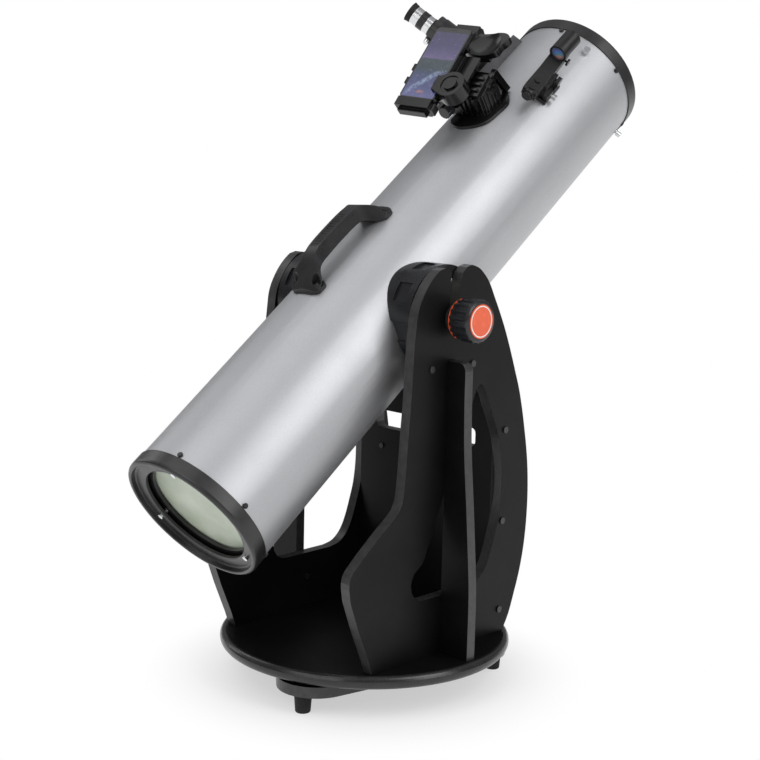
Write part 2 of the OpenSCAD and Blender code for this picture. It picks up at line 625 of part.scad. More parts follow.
// tower with ribs on three sides, a strut on the sky side and two bosses at +x
module dock_tower() {
  box([-27, 355, 112], [52, 53, 60]);
  box([24, 360, 114], [4.5, 42, 46]);
  for (x = [-22, -11, 0, 11]) box([x, 351.5, 114], [5, 5, 50]);
  for (x = [-22, -10, 2, 14]) box([x, 407, 114], [6, 4, 44]);
  for (y = [364, 374, 384, 394]) box([27, y, 117], [3.4, 4, 36]);
  yz_slab([18, 0, 0], 9) polygon([
    strut_foot + [-7, -4], strut_foot + [5, -4], strut_head + [5, 0], strut_head + [-6, 0]]);
  yz_slab([18, 0, 0], 9) polygon([
    [402, 150], strut_head + [-2, 0], strut_head + [2, -8], [402, 138]]);
  x_rod([24, 386, 151], 8, 7.6, 40);
  x_rod([24, 395, 132], 5.5, 7, 40);
}
module dock_base() color([0.07, 0.07, 0.075]) place() {
  dock_pad();
  difference() {
    union() {
      radial(block_angle, 0) box([-27, 350, 126], [54, 58, 80]); // block under the carrier
      radial(4.5, 0) dock_tower();
    }
    ota() rod(280, tube_r + 0.1, 220, 180);
    dock() {
      box([-120, -140, -34.05], [240, 300, 80]);
      box([-120, 34, -42], [240, 200, 60]);
      translate([0, tilt_y, -60]) cylinder(r = 6.05, h = 40, $fn = 40);
    }
    radial(block_angle, 340) y_rod([turn_x, 0, turn_z], 3.55, 17, 32);
  }
}
module dock_carrier() color(BLACK_10) place() dock() difference() {
  union() {
    box([-24, -40, -34], [50, 56, 5.5]);
    box([20, -33, -34], [66, 46, 5.5]);
    for (y = [-24, -12, 0]) box([60, y, -29], [22, 5, 4]);
    translate([0, tilt_y, -46]) cylinder(r = 6, h = 14, $fn = 40);
    box([-24, -40, -34], [50, 6, 12.5]);
    for (x = [-20, 12]) { // ears of the tilt pin
      box([x, tilt_y - 6, -30], [8, 12, 6.5]);
      x_rod([x, tilt_y, tilt_z], 6, 8, 40);
    }
    x_rod([-18, tilt_y, tilt_z], 2.5, 36, 32);
  }
  y_rod([tilt_knob_x, -45, tilt_knob_z], 3.55, 14, 32);
}
module dock_cradle() color([0.06, 0.06, 0.065]) place() dock() difference() {
  union() {
    box([-30, -72, -17], [60, 118, 12]);                 // back plate
    box([-11.8, tilt_y - 3.5, tilt_z], [23.6, 7, 8]);    // tilt lug
    x_rod([-11.8, tilt_y, tilt_z], 4.5, 23.6, 40);
    box([-34, -93, -17], [68, 16.5, 21]);                // bottom ledge
    box([-30, -78, -17], [60, 8, 12]);
    box([28, -62, -17], [37, 96, 3.5]);                  // wing under the jaw
    box([61, -58, -20], [4, 84, 4]);
    box([30.2, -2, -15], [4, 38, 10]);
    box([-34, -93, 2], [68, 17.5, 4.4]);                 // lip of the bottom ledge
    box([-28, -99, -13], [56, 7, 12]);
    box([33.9, -93, -14], [7, 14, 15]);
    for (y = [-46, -18]) translate([-39.5, y, -14]) {    // two claws on the -x edge
      cube([11, 11, 9]);
      box([-0.5, -1, 4], [3.9, 13, 14.5]);
    }
  }
  box([-35.9, -76.2, -4.4], [71.8, 200, 8.8]);           // seat of the telephone
  box([-4, -58.5, -12.1], [60, 50, 3.9]);                // channel of the jaw
  x_rod([-30, tilt_y, tilt_z], 2.55, 60, 32);
}
module dock_jaw() color([0.08, 0.08, 0.085]) place() dock() {
  box([-3, -57, -12], [44, 46, 3.7]);                    // slide
  difference() {
    translate([0, 0, -13]) linear_extrude(27) union() {
      translate([27, -60]) square([22, 29]);
      translate([45, -46]) circle(r = 19, $fn = 64);
      translate([58, -45]) circle(r = 25, $fn = 64);
    }
    box([-60, -100, -4.45], [95.85, 140, 8.95]);
    box([-60, -100, -14], [90.1, 140, 9.7]);
    box([-60, -100, -13.1], [90.2, 140, 5]);
    translate([58, -45, 12]) cylinder(r = 17, h = 5, $fn = 48);
  }
  translate([58, -45, 11.5]) cylinder(r = 12, h = 4.5, $fn = 48);
}

// outline of the hood's wing: x, y in the dock frame
WING = [[22, 48], [24, 68], [36, 77], [52, 81.5], [69, 84.5], [86, 86.5], [97, 84], [102, 77],
  [99, 68], [94, 60], [91, 47], [80, 41], [64, 38], [46, 37], [32, 40]];
module wing_outline() polygon(closed_spline(WING, 4));
module dock_mirror_hood() color([0.05, 0.05, 0.055]) place() dock() difference() {
  union() {
    box([-8, 46.2, -30], [46, 46, 25]);
    yz_slab([31, 42, -31], 6) polygon([[0, 0], [50, 0], [54, 14], [48, 26], [0, 26]]);
    translate([0, 0, -22]) linear_extrude(13) wing_outline();
    translate([0, 0, -30]) intersection() {
      linear_extrude(12) wing_outline();
      box([30, 30, -1], [45, 46, 14]);
    }
  }
  translate([64, 60, 43]) sphere(r = 59, $fn = 96);      // dished face
  box([-3, 50, -40], [36, 60, 28]);
  box([2, 54, -30], [24, 24, 40]);
  box([-40, 0, -40], [70.1, 46.15, 60]);
}
module dock_knob(r, length) {
  rod(-5, 3.5, 11, 24);
  grip(5.5, length, r, 0.6, 72);
}
module dock_knob_tilt() color(BLACK_07) place() dock()
  translate([tilt_knob_x, -40.3, tilt_knob_z]) rotate([90, 0, 0]) dock_knob(6.6, 12);
module dock_knob_turn() color(BLACK_07) place() radial(block_angle, 349.7)
  translate([turn_x, 0, turn_z]) rotate([90, 0, 0]) dock_knob(10.8, 18);
module phone() color([0.05, 0.05, 0.06]) place() dock()
  translate([0, 0, -4.2]) linear_extrude(8.4) rounded_rect(71.4, 152, 8.5);

// red dot finder ---------------------------------------------------------------
shoe_screw = [0, -2, 129];         // axis of the shoe's thumbscrew
window_x = -12;                    // middle plane of the finder's upper body
window_z = 182;                    // axis of the window ring

module finder_frame() { radial(41, 457) children(); }

module finder_shoe() color(PLASTIC) place() finder_frame() difference() {
  union() {
    box([-15, -17, 110], [30, 47, 14]);
    box([-14, -15, 123], [28, 43, 11]);
  }
  translate([0, 40, 0]) rotate([90, 0, 0]) linear_extrude(80) // dovetail groove
    polygon([[-8.1, 124], [8.1, 124], [5.6, 134.5], [-5.6, 134.5]]);
  tube_cut(120);
  x_rod(shoe_screw, 2.05, 30, 20);
  for (y = [6, 16]) box([10, y, 126], [6, 4, 10]);
}
module finder_thumbscrew() color(CHROME) place() finder_frame() x_axis(shoe_screw) {
  rod(7.45, 2, 10.05, 20);
  grip(17, 8, 5.15, 0.25, 36);
}
// side profile of the body: distance towards the mirror end, height from the tube's axis
FINDER_SIDE = [[42, 141], [30, 137], [-20, 146], [-50, 156], [-60, 165], [-60, 177],
  [-34, 171], [-8, 163], [36, 160], [42, 156]];
module finder_body() color([0.12, 0.12, 0.13]) place() finder_frame() difference() {
  translate([window_x, 0, 0]) difference() {
    union() {
      translate([-window_x, 27, 0]) rotate([90, 0, 0]) linear_extrude(40) // dovetail foot
        polygon([[-8, 124.05], [8, 124.05], [5.5, 134.5], [5.5, 142], [-5.5, 142],
          [-5.5, 134.5]]);
      box([-2, -12, 141], [20, 38, 9]);
      translate([13, 0, 0]) rotate([90, 0, -90]) linear_extrude(26) polygon(FINDER_SIDE);
      y_rod([0, 34, window_z], 15.5, 48);
      y_rod([0, -47, 149], 10.5, 8, 48);
      y_rod([0, -50.5, 149], 8.6, 4, 48);
      translate([0, -18, 158]) cylinder(r = 6, h = 5.6, $fn = 40);
      box([-4.5, -40, 153], [9, 7, 8.5]);
      box([-11, 30, 150], [22, 22, 22]);                 // pedestal of the window ring
    }
    y_rod([0, 33, window_z], 12.5, 60);
  }
  x_rod([-6, 46, 165], 2.05, 12, 24);
  x_rod([-1, 18, 145.5], 2.25, 12, 24);
}
module finder_lens() color([0.2, 0.3, 0.5]) place() finder_frame()
  y_rod([window_x, 36, window_z], 12.45, 3);
module finder_knob_side() color(BLACK_07) place() finder_frame() x_axis([1.1, 46, 165]) {
  rod(-6, 2, 12, 24);
  rod(4, 6.5, 3.5, 12);
}
module finder_knob_height() color(BLACK_07) place() finder_frame() x_axis([6.1, 18, 145.5]) {
  rod(-6, 2.2, 12, 24);
  rod(3, 8, 6, 12);
}

ground_board();
feet();
foot_screws();
glide_pads();
pivot_bolt();
base_disc();
base_bumper();
pivot_bush();
side_board_right();
side_board_left();
rib_right();
rib_left();
front_panel();
board_screws();
bearing_pads();
optical_tube();
front_ring();
rear_ring();
ring_screws();
mirror_carrier();
primary_mirror();
mirror_clips();
collimation_screws();
collimation_springs();
spider();
spider_thumbscrews();
secondary_holder();
secondary_mirror();
altitude_hubs();
friction_washers();
altitude_shafts();
shaft_collars();
altitude_knob_right();
knob_disc_right();
altitude_knob_left();
knob_disc_left();
carry_handle();
handle_screws();
focuser_base();
focuser_body();
focuser_drawtube();
focus_shaft();
eyepiece_adapter();
adapter_thumbscrew();
eyepiece();
eyecup();
dock_base();
dock_carrier();
dock_cradle();
dock_jaw();
dock_mirror_hood();
dock_knob_tilt();
dock_knob_turn();
phone();
finder_shoe();
finder_thumbscrew();
finder_body();
finder_lens();
finder_knob_side();
finder_knob_height();
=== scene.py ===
# Tabletop reflecting telescope on a turntable base, with a telephone dock on the tube.
# Metres, +Z up. The altitude axis lies along X; the tube points up towards +Y.
# The CAD pieces get their materials, a few small parts are added, then the studio is built.
import math
import random
from functools import cached_property

import bpy
from mathutils import Matrix, Vector


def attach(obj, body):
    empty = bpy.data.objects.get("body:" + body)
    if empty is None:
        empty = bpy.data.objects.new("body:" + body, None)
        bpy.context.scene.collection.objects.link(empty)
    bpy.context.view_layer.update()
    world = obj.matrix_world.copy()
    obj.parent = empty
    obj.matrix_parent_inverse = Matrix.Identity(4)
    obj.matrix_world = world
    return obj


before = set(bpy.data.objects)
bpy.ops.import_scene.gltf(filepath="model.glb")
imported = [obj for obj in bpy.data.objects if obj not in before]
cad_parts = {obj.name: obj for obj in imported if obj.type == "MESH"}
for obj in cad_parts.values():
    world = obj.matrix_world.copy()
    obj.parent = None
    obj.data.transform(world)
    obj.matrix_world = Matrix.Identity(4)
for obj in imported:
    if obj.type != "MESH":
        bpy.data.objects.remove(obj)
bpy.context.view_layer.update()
random.seed(7)

# ---------------------------------------------------------------- places on the CAD frame
ALTITUDE = math.radians(36.8)
PIVOT = Vector((0, -0.0633, 0.6093))  # where the tube's centre line meets the altitude axis
ACROSS = Vector((1, 0, 0))  # along the altitude axis
ALONG = Vector((0, math.cos(ALTITUDE), math.sin(ALTITUDE)))  # along the tube, to the sky
UPPER = Vector((0, -math.sin(ALTITUDE), math.cos(ALTITUDE)))  # out of the tube's upper side


def mm(x, y, z):
    return Vector((x, y, z)) / 1000


def shift(x, y, z):
    """Translation in mm."""
    return Matrix.Translation(mm(x, y, z))


def turn(degrees, axis):
    return Matrix.Rotation(math.radians(degrees), 4, axis)


def from_columns(x_axis, y_axis, z_axis, origin):
    matrix = Matrix((x_axis, y_axis, z_axis)).transposed().to_4x4()
    matrix.translation = origin
    return matrix


def tube_mount(degrees, station):
    """Frame on the tube's centre line, station mm above the pivot.

    Its y runs up the tube; its z points outwards, degrees round from the upper side to +X.
    """
    angle = math.radians(degrees)
    outward = ACROSS * math.sin(angle) + UPPER * math.cos(angle)
    sideways = ACROSS * math.cos(angle) - UPPER * math.sin(angle)
    return from_columns(sideways, ALONG, outward, PIVOT + ALONG * (station / 1000))


DOCK = tube_mount(0, 376.7) @ shift(-45, 0, 203.8) @ turn(14.4, "X") @ turn(8, "Y")
FOCUSER = tube_mount(-44, 522)
FINDER = tube_mount(41, 457)
FOCUSER_OUT = FOCUSER.col[2].xyz

# ---------------------------------------------------------------- shader graphs
BLOCKS = {}  # finished materials and world, by name


def scaled(color, factor, offset=0.0):
    return tuple(min(1, channel * factor + offset) for channel in color)


class Graph:
    """Node tree of a new material or world. Methods return sockets unless they say node."""

    def __init__(self, name, kind="Material"):
        library = bpy.data.worlds if kind == "World" else bpy.data.materials
        self.name = name
        self.block = library.new(name)
        self.block.use_nodes = True
        self.tree = self.block.node_tree
        self.tree.nodes.clear()
        self.output = self.add("ShaderNodeOutput" + kind)

    @cached_property
    def point(self):
        return self.add("ShaderNodeTexCoord").outputs["Object"]

    def put(self, socket, value):
        if isinstance(value, bpy.types.NodeSocket):
            self.tree.links.new(value, socket)
        elif socket.type == "RGBA" and len(value) == 3:
            socket.default_value = (*value, 1)
        else:
            socket.default_value = value

    def add(self, kind, **inputs):
        """New node; an underscore in an input's name stands for a space."""
        node = self.tree.nodes.new(kind)
        for name, value in inputs.items():
            self.put(node.inputs[name.replace("_", " ")], value)
        return node

    def finish(self, shader):
        self.put(self.output.inputs["Surface"], shader.outputs[0])
        BLOCKS[self.name] = self.block

    # arithmetic
    def math(self, operation, first, second=0.0):
        node = self.add("ShaderNodeMath")
        node.operation = operation
        for socket, value in zip(node.inputs, (first, second, 0.0)):
            self.put(socket, value)
        return node.outputs[0]

    def times(self, first, second):
        return self.math("MULTIPLY", first, second)

    def vec(self, operation, first, second=(0, 0, 0)):
        node = self.add("ShaderNodeVectorMath")
        node.operation = operation
        self.put(node.inputs[0], first)
        self.put(node.inputs["Scale" if operation == "SCALE" else 1], second)
        return node.outputs["Value" if operation in ("DOT_PRODUCT", "LENGTH") else 0]

    def dot(self, first, second):
        return self.vec("DOT_PRODUCT", first, second)

    def span(self, value, start, end, at_start=0.0, at_end=1.0, smooth=True):
        """Clamped map of start..end to at_start..at_end."""
        node = self.add("ShaderNodeMapRange")
        node.interpolation_type = "SMOOTHSTEP" if smooth else "LINEAR"
        node.clamp = True
        for socket, number in zip(node.inputs, (value, start, end, at_start, at_end)):
            self.put(socket, number)
        return node.outputs[0]

    def fall(self, value, start, end, smooth=True):
        return self.span(value, start, end, 1.0, 0.0, smooth)

    def band(self, value, rise, fall, smooth=True):
        """1 between the two (start, end) ranges, 0 outside them."""
        return self.times(self.span(value, *rise, smooth=smooth),
                          self.fall(value, *fall, smooth=smooth))

    # textures
    def noise(self, scale, detail=3.0, rough=0.55, point=None):
        point = self.point if point is None else point
        return self.add("ShaderNodeTexNoise", Scale=scale, Detail=detail, Roughness=rough,
                        Vector=point).outputs[0]

    def voronoi(self, scale, point=None):
        """Cell texture node."""
        point = self.point if point is None else point
        return self.add("ShaderNodeTexVoronoi", Scale=scale, Vector=point)

    def channel(self, color, index):
        return self.add("ShaderNodeSeparateColor", Color=color).outputs[index]

    def wear(self, base, spread=0.25, scale=22):
        """Roughness around base, varied by handling marks and fine grain."""
        big = self.times(self.noise(scale, detail=4, rough=0.6), 0.7)
        fine = self.times(self.noise(scale * 14, rough=0.6), 0.3)
        return self.span(self.math("ADD", big, fine), 0.3, 0.72,
                         base * (1 - spread), base * (1 + spread))

    def scratches(self, seed=0.0):
        """Mask of thin, long marks; the seed turns them."""
        stretched = self.add("ShaderNodeMapping", Vector=self.point,
                             Rotation=(0.3 + seed, 0.5, 0.8 + seed), Scale=(9, 900, 900))
        marks = self.noise(1.0, detail=2, rough=0.5, point=stretched.outputs[0])
        return self.span(marks, 0.68, 0.78)

    # colours
    def mix(self, factor, first, second):
        node = self.add("ShaderNodeMix")
        node.data_type = "RGBA"
        for index, value in ((0, factor), (6, first), (7, second)):
            self.put(node.inputs[index], value)
        return node.outputs[2]

    def overlay(self, base, color, mask, opacity):
        return self.mix(self.times(mask, opacity), base, color)

    def mottle(self, first, second, scale, detail=3, rough=0.55, low=0.3, high=0.7, point=None):
        """Two colours in soft noise patches; low..high is the noise range between them."""
        patches = self.noise(scale, detail, rough, point)
        return self.mix(self.span(patches, low, high), first, second)

    def ramp(self, factor, stops):
        """Colour ramp through (position, colour) stops."""
        node = self.add("ShaderNodeValToRGB", Fac=factor)
        elements = node.color_ramp.elements
        while len(elements) < len(stops):
            elements.new(0.5)
        for element, (position, color) in zip(elements, stops):
            element.position = position
            element.color = (*color, 1)
        return node.outputs[0]

    # normals and positions
    def edge(self, radius):
        node = self.add("ShaderNodeBevel", Radius=radius)
        node.samples = 4
        return node.outputs[0]

    def bump(self, height, strength, distance, normal=None):
        node = self.add("ShaderNodeBump", Strength=strength, Distance=distance, Height=height)
        if normal is not None:
            self.put(node.inputs["Normal"], normal)
        return node.outputs[0]

    def object_normal(self):
        node = self.add("ShaderNodeVectorTransform")
        node.vector_type = "NORMAL"
        node.convert_from = "WORLD"
        node.convert_to = "OBJECT"
        self.put(node.inputs[0], self.add("ShaderNodeNewGeometry").outputs["Normal"])
        return node.outputs[0]

    def along(self, axis, origin=PIVOT):
        """Distance along an axis through origin."""
        return self.dot(self.vec("SUBTRACT", self.point, origin), axis)

    def off_axis(self, axis):
        """Vector to the shading point from the axis through the pivot."""
        offset = self.vec("SUBTRACT", self.point, PIVOT)
        on_axis = self.vec("SCALE", axis, self.dot(offset, axis))
        return self.vec("SUBTRACT", offset, on_axis)

    # shader nodes
    def bsdf(self, **inputs):
        return self.add("ShaderNodeBsdfPrincipled", **inputs)

    def mix_shaders(self, factor, first, second):
        node = self.add("ShaderNodeMixShader")
        for socket, value in zip(node.inputs, (factor, first.outputs[0], second.outputs[0])):
            self.put(socket, value)
        return node


# ---------------------------------------------------------------- materials
def plastic(name, color, rough, grain, depth, radius, specular, tone):
    graph = Graph(name)
    base = graph.mottle(scaled(color, 1 - tone), scaled(color, 1 + tone),
                        scale=35, detail=4, rough=0.6)
    base = graph.overlay(base, scaled(color, 2.2, offset=0.012), graph.scratches(), opacity=0.25)
    normal = graph.bump(graph.noise(grain, detail=2, rough=0.5), strength=depth,
                        distance=0.0004, normal=graph.edge(radius))
    graph.finish(graph.bsdf(Base_Color=base, Roughness=graph.wear(rough),
                            Specular_IOR_Level=specular, Normal=normal))


def black_coat(name, color, rough, grain, depth, radius):
    graph = Graph(name)
    base = graph.mottle(scaled(color, 0.8), scaled(color, 1.3), scale=50)
    normal = graph.bump(graph.noise(grain, rough=0.6), strength=depth,
                        distance=0.0004, normal=graph.edge(radius))
    graph.finish(graph.bsdf(
        Base_Color=base, Roughness=graph.wear(rough, spread=0.2, scale=30),
        Specular_IOR_Level=0.55, Coat_Weight=0.15, Coat_Roughness=0.25, Normal=normal))


def metal(name, color, rough, spread):
    graph = Graph(name)
    normal = graph.bump(graph.noise(700, rough=0.6), strength=0.08,
                        distance=0.0002, normal=graph.edge(0.0003))
    graph.finish(graph.bsdf(
        Base_Color=graph.mottle(scaled(color, 0.86), color, scale=160), Metallic=1.0,
        Roughness=graph.wear(rough, spread=spread, scale=60), Normal=normal))


def laminate(name, thickness_axis):
    """Black melamine board: pebbled faces, smooth banding on the edges."""
    graph = Graph(name)
    facing = graph.math("ABSOLUTE", graph.dot(graph.object_normal(), thickness_axis))
    face = graph.span(facing, 0.55, 0.8)
    pebbles = graph.math("ADD", graph.noise(1100, rough=0.6),
                         graph.times(graph.voronoi(620).outputs["Distance"], 0.6))
    board = graph.mottle((0.0030, 0.0030, 0.0033), (0.0052, 0.0051, 0.0051),
                         scale=14, detail=5, rough=0.62, low=0.32)
    dust = graph.times(graph.fall(graph.voronoi(260).outputs["Distance"], 0.03, 0.075),
                       graph.span(graph.noise(60, detail=2), 0.58, 0.7))
    board = graph.overlay(board, (0.10, 0.10, 0.10), dust, opacity=0.16)
    board = graph.overlay(board, (0.06, 0.06, 0.06), graph.scratches(seed=0.4), opacity=0.22)
    banding = graph.mottle((0.026, 0.026, 0.027), (0.038, 0.037, 0.037),
                           scale=90, low=0.35, high=0.65)
    face_wear = graph.times(face, graph.wear(0.10, spread=0.5, scale=9))
    normal = graph.bump(pebbles, strength=graph.times(face, 0.35),
                        distance=0.0003, normal=graph.edge(0.0009))
    graph.finish(graph.bsdf(
        Base_Color=graph.mix(face, banding, board), Roughness=graph.math("ADD", face_wear, 0.31),
        Specular_IOR_Level=graph.span(face, 0.0, 1.0, at_start=0.5, at_end=0.17), Normal=normal))


def tube_paint():
    """Silver flake paint outside, dull black inside."""
    graph = Graph("tube_silver")
    offset = graph.off_axis(ALONG)
    facing_out = graph.dot(graph.object_normal(), graph.vec("NORMALIZE", offset))
    inside = graph.fall(facing_out, -0.2, 0.2)
    flake = graph.channel(graph.voronoi(2600.0).outputs["Color"], 0)
    paint = graph.mix(graph.span(flake, 0.0, 1.0), (0.43, 0.435, 0.45), (0.53, 0.535, 0.55))
    clouds = graph.span(graph.noise(7, detail=4), 0.35, 0.7)
    paint = graph.overlay(paint, (0.52, 0.53, 0.545), clouds, opacity=0.25)
    paint = graph.overlay(paint, (0.75, 0.75, 0.76), graph.scratches(seed=1.1), opacity=0.10)
    peel = graph.bump(graph.noise(240, rough=0.5), strength=0.05, distance=0.0006)
    # rolled seam along the underside
    underside = graph.span(graph.dot(offset, UPPER), -0.05, -0.09)
    centre = graph.fall(graph.math("ABSOLUTE", graph.dot(offset, ACROSS)), 0.0006, 0.0016)
    seam = graph.times(underside, centre)
    outer = graph.bsdf(
        Base_Color=paint, Metallic=0.86, Roughness=graph.wear(0.50, spread=0.05, scale=12),
        Coat_Weight=0.10, Coat_Roughness=graph.wear(0.30, spread=0.15, scale=16), Coat_IOR=1.45,
        Normal=graph.bump(seam, strength=0.6, distance=0.0006, normal=peel))
    felt = graph.bump(graph.noise(1500, rough=0.7), strength=0.6, distance=0.0004)
    inner = graph.bsdf(Base_Color=(0.010, 0.010, 0.011), Roughness=0.82,
                       Specular_IOR_Level=0.25, Normal=felt)
    graph.finish(graph.mix_shaders(inside, outer, inner))


def mirror(name, facing_axis, spot):
    """Mirror coat on the side facing the axis, pale green glass elsewhere; spot adds a ring."""
    graph = Graph(name)
    front = graph.span(graph.dot(graph.object_normal(), facing_axis), 0.55, 0.75)
    radius = graph.vec("LENGTH", graph.off_axis(ALONG))
    silver = (0.93, 0.94, 0.95)
    if spot:
        ring = graph.band(radius, rise=(0.0028, 0.0030), fall=(0.0052, 0.0054))
        silver = graph.mix(ring, silver, (0.02, 0.02, 0.02))
        rough = graph.math("ADD", graph.times(ring, 0.5), graph.wear(0.02, spread=0.5, scale=8))
    else:
        rough = graph.wear(0.02, spread=0.5, scale=20)
    coat = graph.bsdf(Base_Color=silver, Metallic=1.0, Roughness=rough)
    glass = graph.mottle((0.40, 0.46, 0.36), (0.52, 0.57, 0.47), scale=18, detail=4)
    glass = graph.overlay(glass, (0.30, 0.38, 0.30), graph.span(radius, 0.094, 0.1008),
                          opacity=0.5)
    frosting = graph.bump(graph.noise(420, detail=4, rough=0.6), strength=0.12,
                          distance=0.0003, normal=graph.edge(0.0012))
    back = graph.bsdf(
        Base_Color=glass, Roughness=graph.wear(0.42, spread=0.2, scale=40),
        Specular_IOR_Level=0.6, Coat_Weight=0.25, Coat_Roughness=0.2, Subsurface_Weight=0.2,
        Subsurface_Radius=(0.01, 0.012, 0.009), Subsurface_Scale=0.5, Normal=frosting)
    graph.finish(graph.mix_shaders(front, back, coat))


def knob_disc():
    """Orange, with a thin pale rim on the outer face."""
    graph = Graph("knob_orange")
    radius = graph.vec("LENGTH", graph.off_axis(ACROSS))
    outer_face = graph.span(graph.math("ABSOLUTE", graph.along(ACROSS)), 0.2185, 0.2195)
    rim = graph.band(radius, rise=(0.02255, 0.02275), fall=(0.0243, 0.0245))
    orange = graph.mottle((0.72, 0.085, 0.017), (0.80, 0.105, 0.022), scale=60)
    color = graph.mix(graph.times(rim, outer_face), orange, (0.80, 0.78, 0.76))
    normal = graph.bump(graph.noise(800, detail=2), strength=0.04,
                        distance=0.0003, normal=graph.edge(0.0003))
    graph.finish(graph.bsdf(
        Base_Color=color, Roughness=graph.wear(0.24, spread=0.25, scale=60),
        Coat_Weight=0.4, Coat_Roughness=0.08, Normal=normal))


def coating_color(graph, tint, rim):
    """Tint where the glass faces the viewer, rim colour at grazing angles."""
    facing = graph.add("ShaderNodeLayerWeight", Blend=0.35).outputs["Facing"]
    between = tuple((a + b) / 2 for a, b in zip(tint, rim))
    return graph.ramp(facing, [(0.0, tint), (0.55, between), (1.0, rim)])


def coated_glass(graph, tint, clear_share, **coating):
    dust = graph.span(graph.noise(900), 0.55, 0.8, at_start=0.02, at_end=0.09)
    coated = graph.bsdf(Roughness=dust, Coat_Weight=1.0, Coat_Roughness=0.02, **coating)
    clear = graph.bsdf(Base_Color=scaled(tint, 0.8, offset=0.1), Transmission_Weight=1.0,
                       Roughness=0.02, IOR=1.5)
    graph.finish(graph.mix_shaders(clear_share, coated, clear))


def eye_coating():
    graph = Graph("eye_coating")
    tint = (0.04, 0.05, 0.12)
    coated_glass(graph, tint, clear_share=0.35, Metallic=0.85,
                 Base_Color=coating_color(graph, tint, rim=(0.16, 0.35, 0.20)))


def finder_coating_painted_glint():
    """Dark glass with a painted reflection: a glowing spot that runs from orange to blue."""
    graph = Graph("finder_coating_painted_glint")
    tint = (0.05, 0.22, 0.60)
    base = coating_color(graph, tint, rim=(0.80, 0.34, 0.06))
    offset = graph.vec("SUBTRACT", graph.point, FINDER @ mm(-12, 36, 182))
    outward = graph.times(graph.dot(offset, FINDER.col[2].xyz), 42.0)
    sideways = graph.times(graph.dot(offset, FINDER.col[0].xyz), -30.0)
    # painted reflection: emission colours running from orange on one side of the lens to blue on
    # the other
    painted_glint_colors = graph.ramp(graph.math("ADD", graph.math("ADD", outward, sideways), 0.5), [
        (0.0, (0.62, 0.20, 0.03)), (0.20, (0.30, 0.17, 0.02)), (0.36, (0.02, 0.16, 0.13)),
        (0.60, (0.01, 0.10, 0.34)), (1.0, (0.002, 0.01, 0.05))])
    # spot is the mask of the painted reflection, strong in the middle with a faint painted glow
    # over the rest of the lens
    spot = graph.span(graph.vec("LENGTH", offset), 0.0045, 0.0118, at_start=1.0, at_end=0.12)
    coated_glass(graph, tint, clear_share=0.0, Metallic=0.3,
                 Base_Color=graph.mix(0.6, base, (0.01, 0.01, 0.015)),
                 Emission_Color=graph.mix(spot, (0, 0, 0), painted_glint_colors), Emission_Strength=0.55)


def star_layer(graph, point, scale, channel, size, share):
    """Dots in a few cells; size is the fall-off range, share the range that picks cells."""
    cells = graph.voronoi(scale, point)
    pick = graph.channel(cells.outputs["Color"], channel)
    return graph.times(graph.fall(cells.outputs["Distance"], *size), graph.span(pick, *share))


